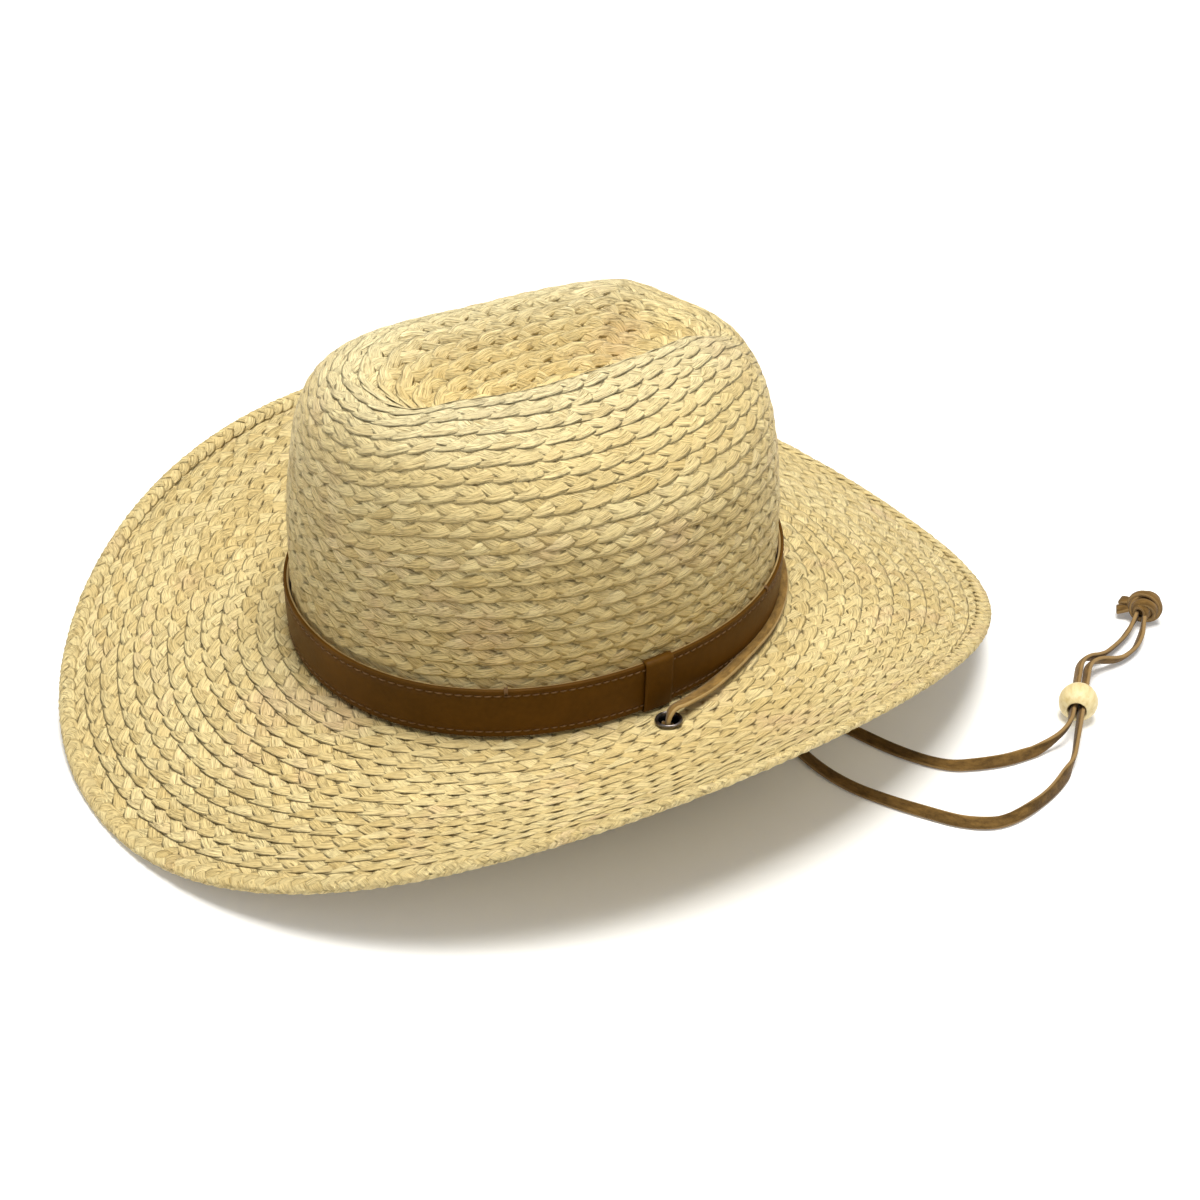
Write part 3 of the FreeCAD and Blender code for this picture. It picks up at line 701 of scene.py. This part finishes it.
def lace(parts, line, twists, up=(0, 0, 1), seed=0, lift=0.0, floor=None):
    """Flat lace along a line. twists are (share of length, degrees that its width is turned from level)."""
    rng = np.random.default_rng(seed)
    side, ups = carried_frames(line, up)
    run = np.concatenate([[0.0], np.cumsum(np.linalg.norm(np.diff(line, axis=0), axis=1))])
    share = run / run[-1]
    marks = np.array([m for m, _ in twists])
    degrees = np.array([d for _, d in twists], float)
    steps = np.clip(np.searchsorted(marks, share) - 1, 0, len(marks) - 2)
    part = ease((share - marks[steps]) / (marks[steps + 1] - marks[steps]))
    angle = np.radians(degrees[steps] + (degrees[steps + 1] - degrees[steps]) * part)
    waver = 1.0 + 0.05 * np.interp(share, np.linspace(0, 1, 24), rng.uniform(-1, 1, 24))
    from_bead = np.linalg.norm(line / MM - BEAD_AT, axis=1)
    waver = waver * (1.0 - BEAD_SQUEEZE * ease((40.0 - from_bead) / 14.0))
    across, height = lace_section(LACE_WIDTH * MM, LACE_THICKNESS * MM)
    c = np.cos(angle)[:, None, None]
    s = np.sin(angle)[:, None, None]
    wide = side[:, None] * c + ups[:, None] * s
    thick = ups[:, None] * c - side[:, None] * s
    rings = line[:, None] + wide * (across * waver[:, None])[..., None] + thick * height[None, :, None]
    rings = rings + ups[:, None] * lift
    if floor is not None:
        low = rings[..., 2].min(axis=1)
        rings[..., 2] += np.maximum(floor - low, 0.0)[:, None]
    weave = vec(run[:, None], across[None, :] / (LACE_WIDTH * MM / 2), float(seed))
    parts.tube(rings, weave, closed=False)


def lace_piece(name, node, route, twists, material, **settings):
    line = smooth_line(route)
    parts = Parts()
    lace(parts, line, twists, **settings)
    return parts.piece(name, node, "suede", material), line


LACE_FLOOR = 0.15 * MM
to_knot = [(0.80, 104), (0.84, 112), (0.90, 120), (0.97, 116), (1.0, 90)]
left_lace, left_line = lace_piece(
    "lace_left_tail", "chin_cord_left_tail", left_route,
    [(0.0, 90), (0.10, 20), (0.40, 0), (0.47, -8), (0.55, 15), (0.62, 50), (0.655, 8), (0.70, 50), (0.735, 45),
     (0.765, 92)] + to_knot, SUEDE_MATERIAL, seed=3, floor=LACE_FLOOR)
right_lace, right_line = lace_piece(
    "lace_right_tail", "chin_cord_right_tail", right_route,
    [(0.0, 90), (0.10, 20), (0.50, 18), (0.56, 18), (0.63, -3), (0.705, 38), (0.735, 42), (0.77, 88)] + to_knot,
    SUEDE_MATERIAL, seed=4, floor=LACE_FLOOR)

# The middle of the lace leans on the band's foot, in a lighter tan suede than the tails.
LEAN = 48.0
lace_piece("lace_back", "chin_cord_back", back_route,
           [(0.0, -90), (0.035, -LEAN - 12), (0.08, -LEAN), (0.5, -LEAN), (0.92, -LEAN), (0.965, -LEAN - 12),
            (1.0, -90)], TAN_SUEDE_MATERIAL, seed=5, lift=0.7 * MM)


def spokes(axis, hint, turn):
    """Directions square to an axis at each turn, the first one square to hint too."""
    side = unit(np.cross(axis, hint))
    return np.cos(turn)[:, None] * side + np.sin(turn)[:, None] * np.cross(axis, side)


def knot_turn(parts, centre, pole, offset, radius, seed, width=3.3, thickness=1.9, flare=0.0):
    """One turn of lace round the knot's pole, standing on edge so that its cut edge faces along the pole."""
    turn = round_turn(56)
    out = spokes(pole, (0.3, 0.2, 1.0), turn)
    phase = np.random.default_rng(seed).uniform(0, TAU)
    swell = radius + 0.30 * np.sin(2 * turn + phase)
    ring = centre + pole * offset + out * swell[:, None] + pole * (0.6 * np.sin(turn + phase))[:, None]
    tangent = unit(np.roll(ring, -1, 0) - np.roll(ring, 1, 0))
    face = unit(out + pole * flare)
    wide = unit(np.cross(tangent, face))
    across, height = lace_section(width, thickness)
    rings = ring[:, None] + wide[:, None] * across[None, :, None] + face[:, None] * height[None, :, None]
    weave = vec(turn[:, None] * radius * MM, across[None, :] / (width / 2), float(seed))
    parts.tube(rings * MM, weave, closed=True)


def knot():
    """Overhand knot in both laces: turns that cross each other round a core, and the two cut ends."""
    parts = Parts()
    centre = np.array(KNOT_AT)
    entry = unit(np.array([0.52, -0.84, -0.10]))
    aside = unit(np.cross(entry, (0, 0, 1.0)))
    up = np.cross(aside, entry)

    def tilted(degrees, heading):
        lean = math.radians(degrees)
        head = math.radians(heading)
        return entry * math.cos(lean) + (aside * math.cos(head) + up * math.sin(head)) * math.sin(lean)

    turns = [((9, 20), 4.7, 3.1, 0.4), ((12, 200), 2.6, 4.9, 0.3), ((10, 60), -0.3, 6.5, 0.0),
             ((14, 250), -3.0, 5.2, -0.4), ((26, 120), 0.6, 5.8, 0.1), ((8, 300), -4.7, 3.4, -0.6)]
    for seed, (lean, offset, radius, flare) in enumerate(turns):
        knot_turn(parts, centre, tilted(*lean), offset, radius, seed, flare=flare)
    core = [math.radians(a) for a in range(4, 177, 12)]
    lathe(parts, centre, entry, [(5.0 * math.cos(a), 5.0 * math.sin(a)) for a in core], around=24, seed=9)
    for heading, level, seed in ((196.0, 7.9, 11), (222.0, 6.0, 12)):
        turn = math.radians(heading)
        reach = np.linspace(2.0, 11.5, 9)[:, None]
        droop = -0.018 * reach ** 2
        line = np.array([KNOT_AT[0], KNOT_AT[1], level]) + reach * np.array([math.cos(turn), math.sin(turn), 0.0])
        line[:, 2:] += droop
        lace(parts, line * MM, [(0.0, 20), (1.0, -12)], seed=seed)
    return parts.piece("lace_knot", "chin_cord_knot", "suede", SUEDE_MATERIAL)


def lathe(parts, centre, axis, profile, around=48, seed=0, closed=False):
    """Turned shape: profile is (distance along the axis, radius), in mm. closed joins its last point to its first."""
    axis = unit(np.array(axis, float))
    turn = round_turn(around)
    out = spokes(axis, (0.31, 0.23, 0.92), turn)
    profile = np.array(profile, float)
    rings = np.array(centre) + axis * profile[:, 0][:, None, None] + out[None] * profile[:, 1][:, None, None]
    weave = vec(profile[:, 0][:, None] * MM, turn[None, :] / math.pi - 1.0, float(seed))
    parts.tube(rings * MM, weave, closed)


def bead():
    """Turned bead: a ball with a bore whose mouths are eased."""
    mouth = math.asin(BEAD_BORE / BEAD_RADIUS)
    lip = 0.10
    angles = np.linspace(mouth + lip, math.pi - mouth - lip, 33)
    profile = [(BEAD_RADIUS * math.cos(a), BEAD_RADIUS * math.sin(a)) for a in angles]
    end = BEAD_RADIUS * math.cos(mouth) - 0.25
    round_over = [(-end - 0.05, BEAD_BORE + 0.45), (-end + 0.12, BEAD_BORE + 0.14), (-end + 0.6, BEAD_BORE)]
    bore = [(x, BEAD_BORE) for x in np.linspace(-end + 1.6, end - 1.6, 6)]
    out_again = [(-x, r) for x, r in reversed(round_over)]
    parts = Parts()
    lathe(parts, BEAD_AT, BEAD_AXIS, profile + round_over + bore + out_again, around=64, closed=True)
    return parts.piece("wood_bead", "slide_bead", "bead_wood", WOOD_MATERIAL, body="bead")


the_knot = knot()
the_bead = bead()


# ---- straw
STRAND_SECTION = [(-1.0, 0.0), (-0.55, 0.75), (0.0, 1.0), (0.55, 0.75), (1.0, 0.0), (0.5, -0.7), (-0.5, -0.7)]


def slow_wave(rng, distance, perimeter, size, waves=(2, 3, 5, 8, 13)):
    """A gentle closed wander round a row, size at most."""
    total = sum(np.sin(TAU * distance / perimeter * n + rng.uniform(0, TAU)) * rng.uniform(0.4, 1.0) for n in waves)
    return total * size / len(waves) * 1.6


def clear_of_eyelets(middles):
    """Which points are outside the eyelets' holes."""
    clear = np.ones(len(middles), bool)
    for side in (1, -1):
        seat, up = eyelet_seat(side)
        foot = settle(seat)
        axis = unit(settle(seat + up) - foot)
        away = middles - foot
        level = away @ axis
        reach = np.linalg.norm(away - axis * level[:, None], axis=1)
        clear &= (reach > 4.0 * MM) | (np.abs(level) > 6.0 * MM)
    return clear


def crowding(skin, turn, share):
    """How close together rows lie where the surface runs slantwise to them, 1 where they are square to it."""
    before, _ = skin.at(turn, share - 0.02)
    after, _ = skin.at(turn, share + 0.02)
    middle, _ = skin.at(turn, share)
    step = after - before
    along = unit(np.roll(middle[:-1], -1, 0) - np.roll(middle[:-1], 1, 0))
    along = np.concatenate([along, along[:1]])
    square = step - along * np.sum(step * along, axis=-1, keepdims=True)
    return np.linalg.norm(square, axis=-1) / np.linalg.norm(step, axis=-1)


def part_round_eyelets(points):
    """Strands give way round the two eyelets."""
    for seat, up in (eyelet_seat(1), eyelet_seat(-1)):
        away = points - seat
        level = (away @ up)[..., None]
        away = away - up * level
        reach = np.linalg.norm(away, axis=-1, keepdims=True)
        pushed = (reach ** 4 + 4.3 ** 4) ** 0.25
        near = (reach < 12.0) & (np.abs(level) < 6.0)
        points = np.where(near, points + away * (pushed / np.maximum(reach, 0.05) - 1.0), points)
    return points


def plait_row(parts, skin, share, rng, strands=3, inner=4.5, outer=1.6, half_inner=3.7, half_outer=2.4,
              lift=0.31, thickness=0.30, rise=0.6, depth=PLAIT_DEPTH, period=PLAIT_PERIOD, pitch=ROW_PITCH):
    """One closed row. inner and outer are how far a strand's middle swings to each side of the row's line,
    lift how far it goes over and under, and rise how much the outer edge stands above the inner one."""
    turn = np.linspace(0.0, TAU, 1441)
    middle, _ = skin.at(turn, share)
    run = np.concatenate([[0.0], np.cumsum(np.linalg.norm(np.diff(middle, axis=0), axis=1))])
    perimeter = run[-1]
    periods = max(int(round(perimeter / period)), 3)
    count = int(round(perimeter / PLAIT_STEP))
    distance = np.arange(count) / count * perimeter
    start = rng.uniform(0, TAU)
    wander = slow_wave(rng, distance, perimeter, 0.5)
    uneven = slow_wave(rng, distance, perimeter, 0.55, (5, 9, 14, 23, 31))
    flat = np.interp(distance, run, crowding(skin, turn, share))
    for k in range(strands):
        theta = TAU * (distance / perimeter * periods + k / strands) + start + uneven
        swing = np.arcsin(0.93 * np.sin(theta)) / math.asin(0.93)
        lateral = (inner + outer) / 2 * swing + (outer - inner) / 2 * swing ** 2 + wander
        slope = (np.roll(lateral, -1) - np.roll(lateral, 1)) / (2 * perimeter / count)
        steep = 1.0 / np.sqrt(1.0 + slope ** 2)
        fullness = 1.0 + slow_wave(rng, distance, perimeter, 0.14, (7, 12, 19, 29, 37))
        half = (half_inner + (half_outer - half_inner) * (swing + 1.0) / 2.0) * fullness
        over = -lift * np.sin((strands - 1) * theta)
        over = (over + slow_wave(rng, distance, perimeter, 0.14, (11, 17, 26, 41, 53))) * flat
        v, h = np.array(STRAND_SECTION).T[:, None, :]
        along = distance[:, None] - slope[:, None] * steep[:, None] * v * half[:, None]
        aside = lateral[:, None] + steep[:, None] * v * half[:, None]
        phi = np.interp(along % perimeter, run, turn)
        at, normal = skin.at(phi, share + aside / skin.length_at(phi))
        height = depth + over[:, None] + h * thickness + aside / pitch * rise * flat[:, None]
        low = PLAIT_FLOOR + 0.5
        height = np.where(height < low, PLAIT_FLOOR + 0.5 * np.exp((height - low) / 0.5), height)
        rings = settle(part_round_eyelets(at + normal * height[..., None]))
        there_and_back = np.minimum(distance, perimeter - distance)
        weave = vec(there_and_back[:, None] * MM, v, rng.uniform(0.0, 1.0))
        parts.tube(rings, weave, closed=True)


def straw_piece(name, node, skin, shares, seed, **row):
    rng = np.random.default_rng(seed)
    parts = Parts()
    for share in shares:
        plait_row(parts, skin, share, rng, **row)
    parts.piece(name, node, "straw", STRAW_MATERIAL, keep=clear_of_eyelets)


def straw():
    crown = Skin(lambda phi, s: crown_point(phi, 2.0 - s), 0.0, 2.0, fold=0.5)
    rows = int(round(crown.length.mean() / CROWN_PITCH))
    shares = (np.arange(rows) + 0.6) / rows
    wall = dict(inner=3.9, outer=1.4, half_inner=3.3, half_outer=2.15, lift=0.30, period=CROWN_PERIOD,
                pitch=CROWN_PITCH)
    top = dict(wall, inner=3.7, outer=1.8, half_inner=3.5, half_outer=2.6, lift=0.24, rise=0.55)
    tip = int(round(rows * 0.6))
    middle = (tip + rows) // 2
    straw_piece("straw_crown_tip", "crown_tip_braid", crown, shares[:tip], 21, **top)
    straw_piece("straw_crown_upper", "crown_side_braid", crown, shares[tip:middle], 22, rise=0.95, **wall)
    straw_piece("straw_crown_lower", "crown_side_braid", crown, shares[middle:], 26, rise=0.95, **wall)

    brim = Skin(brim_point, 0.0, 1.0, crowd=0.85)
    rows = int(round(brim.length.max() / ROW_PITCH)) - 1
    shares = np.linspace(0.035, 0.905, rows)
    half = rows // 2 + 1
    straw_piece("straw_brim_inner", "brim_braid", brim, shares[:half], 23)
    straw_piece("straw_brim_outer", "brim_braid", brim, shares[half:], 24)

    rim = Skin(edge_section, math.radians(150.0), math.radians(-150.0))
    straw_piece("straw_brim_edge", "brim_edge_row", rim, [0.5], 25, strands=5, inner=7.2, outer=7.2,
                half_inner=3.0, half_outer=3.0, lift=0.33, rise=0.0, depth=-0.8)


straw()


# ---- hat band
def wall_sweep(parts, section, around=540, seed=0, waver=0.0):
    """Closed ring round the crown. section is (height, proud) corners in mm."""
    phi = round_turn(around)
    z, proud = np.array(section).T[:, None, :]
    rng = np.random.default_rng(seed)
    loose = slow_wave(rng, phi, TAU, waver, (3, 4, 7, 11, 16))[:, None]
    rings = settle(wall_point(phi[:, None], z, proud + np.maximum(loose, -0.1)))
    weave = vec(phi[:, None] * 0.095, z / BAND_HEIGHT, float(seed))
    parts.tube(rings, weave, closed=True)


def rounded_strip(low, high, inside, outside, soft, steps=4):
    """Corners of an upright strip's section with rounded outer edges."""
    arc = [math.radians(90.0 * k / steps) for k in range(steps + 1)]
    foot = [(low + soft - soft * math.cos(a), outside - soft + soft * math.sin(a)) for a in arc]
    head = [(low + high - z, p) for z, p in reversed(foot)]
    return foot, head, [(high, inside), ((low + high) / 2, inside), (low, inside)]


def band():
    low, high = BAND_FOOT, BAND_FOOT + BAND_HEIGHT
    foot, head, back = rounded_strip(low, high, GLUE + BACKING, BAND_PROUD, 0.55)
    groove = [(-0.7, 0.0), (-0.35, -0.22), (0.0, -0.30), (0.35, -0.22), (0.7, 0.0)]
    face = [(low + STITCH_INSET + a, BAND_PROUD + b) for a, b in groove]
    face += [(low + BAND_HEIGHT * t, BAND_PROUD + 0.12 * math.sin(math.pi * t)) for t in (0.25, 0.38, 0.5, 0.62, 0.75)]
    face += [(high - STITCH_INSET + a, BAND_PROUD + b) for a, b in groove]
    parts = Parts()
    wall_sweep(parts, foot + face + head + back, seed=31, waver=0.12)
    parts.piece("band_strap", "hat_band_strap", "band_leather", BAND_MATERIAL)

    foot, head, back = rounded_strip(low + 0.3, high - 0.3, GLUE, GLUE + BACKING, 0.2, steps=2)
    parts = Parts()
    wall_sweep(parts, foot + head + back, seed=32)
    parts.piece("band_backing", "hat_band_backing", "band_leather", TAN_SUEDE_MATERIAL)


def thread_run(parts, line, radius, seed, corners=6):
    """A short length of thread along a line in metres."""
    side, ups = carried_frames(line, (0.02, 0.03, 1.0) if abs(line[-1][2] - line[0][2]) < 1e-3 else (1, 0.2, 0))
    angle = round_turn(corners)
    ring = side[:, None] * np.cos(angle)[None, :, None] + ups[:, None] * np.sin(angle)[None, :, None]
    weave = vec(np.linspace(0, 0.003, len(line))[:, None], angle[None, :] / TAU, float(seed))
    parts.tube(line[:, None] + ring * radius, weave, closed=False)


def stitches(name, node, z, seed):
    """Saddle stitches round the band, each dipping into the leather at its ends."""
    rng = np.random.default_rng(seed)
    parts = Parts()
    count = 168
    for i in range(count):
        middle = TAU * (i + 0.5) / count
        half = TAU / count * rng.uniform(0.36, 0.41)
        phi = np.linspace(middle - half, middle + half, 7)
        bow = np.sin(np.linspace(0, math.pi, 7))
        tilt = np.linspace(-1, 1, 7) * rng.uniform(0.02, 0.16)
        line = settle(wall_point(phi, z + tilt, BAND_PROUD - 0.5 + 0.45 * bow))
        thread_run(parts, line, THREAD_RADIUS * MM, i)
    parts.piece(name, node, "thread", THREAD_MATERIAL)


def tacks():
    """Four bar tacks that hold the band's upper edge to the crown, each three turns of thread."""
    parts = Parts()
    for number, degrees in enumerate((40, 140, 220, 320)):
        for k in (-1, 0, 1):
            phi = math.radians(degrees + 0.28 * k)
            t = np.linspace(0, 1, 7)
            z = BAND_FOOT + BAND_HEIGHT - 1.6 + 2.6 * t
            proud = BAND_PROUD + 0.1 + 0.25 * np.sin(math.pi * t) - 1.2 * ease((t - 0.6) / 0.4)
            thread_run(parts, settle(wall_point(np.full(7, phi), z, proud)), 0.26 * MM, number * 3 + k)
    parts.piece("band_tacks", "hat_band_tacks", "thread", THREAD_MATERIAL)


def keeper():
    """Leather loop over the strap's joint: a rounded strip that goes over the band's two edges."""
    room = BAND_PROUD + THREAD_RADIUS + 0.05
    mid = room + KEEPER_THICKNESS / 2
    low, high = BAND_FOOT - 0.1, BAND_FOOT + BAND_HEIGHT + 0.55
    soft = 1.1
    arc = [math.radians(a) for a in (0, 22, 45, 68, 90)]
    path = [(low, GLUE + 0.3), (low, mid - soft)]
    path += [(low + soft * (1 - math.cos(a)), mid - soft * (1 - math.sin(a))) for a in arc]
    path += [(low + (high - low) * t, mid + 0.1 * math.sin(math.pi * t)) for t in (0.2, 0.35, 0.5, 0.65, 0.8)]
    path += [(high - soft * (1 - math.cos(a)), mid - soft * (1 - math.sin(a))) for a in reversed(arc)]
    path += [(high, mid - soft), (high, GLUE + 0.3)]
    path = np.array(path)
    tangent = unit(np.gradient(path, axis=0))
    outward = np.stack([-tangent[:, 1], tangent[:, 0]], 1)
    centre = math.atan2(KEEPER_Y, BASE_X)
    across, height = lace_section(2 * KEEPER_HALF_WIDTH, KEEPER_THICKNESS, 18)
    z = path[:, 0][:, None] + outward[:, 0][:, None] * height[None, :]
    proud = path[:, 1][:, None] + outward[:, 1][:, None] * height[None, :]
    phi = centre + across[None, :] / BASE_X + 0 * z
    rings = settle(wall_point(phi, z, proud))
    parts = Parts()
    weave = vec(path[:, 0][:, None] * MM, across[None, :] / KEEPER_HALF_WIDTH, 0.0)
    parts.tube(rings, weave, closed=False)
    parts.piece("band_keeper", "hat_band_keeper", "band_leather", BAND_MATERIAL)


band()
stitches("stitches_upper", "hat_band_stitching_upper", BAND_FOOT + BAND_HEIGHT - STITCH_INSET, 41)
stitches("stitches_lower", "hat_band_stitching_lower", BAND_FOOT + STITCH_INSET, 42)
tacks()
keeper()


# ---- eyelets
def eyelet(side, name, node):
    """Rolled grommet: a domed flange, a barrel, and a set lip underneath."""
    seat, up = eyelet_seat(side)
    roll = [math.radians(a) for a in (0, 30, 60, 90, 120, 150, 180)]
    lip_radius = 4.1
    middle = (lip_radius + EYELET_FLANGE) / 2
    half = (EYELET_FLANGE - lip_radius) / 2
    wall = EYELET_BARREL + 0.2
    dome = [(0.15 + 0.95 * math.sin(a), middle + half * math.cos(a)) for a in roll]
    barrel = [(-0.3, lip_radius - 0.2), (-0.8, 3.35), (-1.5, 2.95), (-2.5, 2.8), (-STRAW - 1.9, 2.8)]
    lip = [(-STRAW - 2.1, 2.9), (-STRAW - 2.1, wall), (-STRAW - 0.9, wall),
           (-1.6, wall), (-0.2, wall), (0.12, wall + 0.3), (0.15, EYELET_FLANGE - 0.4)]
    parts = Parts()
    lathe(parts, seat, up, dome + barrel + lip, around=56, closed=True)
    parts.points = [settle(p / MM) for p in parts.points]
    parts.piece(name, node, "eyelet_metal", GROMMET_METAL)


for side, hand in ((1, "left"), (-1, "right")):
    eyelet(side, "grommet_" + hand, "eyelet_" + hand)


# ---- carried-over CAD nodes
def dress(material, *names):
    for name in names:
        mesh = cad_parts[name].data
        mesh.materials.clear()
        mesh.materials.append(material)


dress(STEEL, "brim_wire", "brim_wire_sleeve")
dress(TAPE_MATERIAL, "sweatband", "sweatband_piping", "sweatband_tab")
dress(DARK_METAL, "eyelet_washer_left", "eyelet_washer_right")


# ---- studio
def add_floor():
    half = 20.0
    mesh = bpy.data.meshes.new("floor")
    mesh.from_pydata([(-half, -half, 0), (half, -half, 0), (half, half, 0), (-half, half, 0)], [], [(0, 1, 2, 3)])
    mesh.materials.append(floor_material())
    add_object("floor", mesh)


def area_light(name, place, target, size, power, colour=(1.0, 1.0, 1.0)):
    data = bpy.data.lights.new(name, "AREA")
    data.size = size
    data.energy = power
    data.color = colour
    light = add_object(name, data)
    light.location = place
    light.rotation_euler = (Vector(target) - Vector(place)).to_track_quat("-Z", "Y").to_euler()


def add_lights():
    middle = (0.0, 0.0, 0.08)
    area_light("key_above", (0.08, 0.02, 2.0), middle, 1.0, 55.0, (1.0, 0.985, 0.95))
    area_light("side_right", (1.5, 0.4, 1.0), middle, 1.0, 3.5)
    area_light("fill_left", (-0.4, -1.6, 1.0), middle, 1.6, 3.0)
    world = bpy.data.worlds.new("studio")
    world.use_nodes = True
    colour, strength = world.node_tree.nodes["Background"].inputs[:2]
    colour.default_value = (1.0, 1.0, 1.0, 1.0)
    strength.default_value = 0.25
    bpy.context.scene.world = world
    bpy.context.scene.view_settings.view_transform = "Standard"


add_floor()
add_lights()
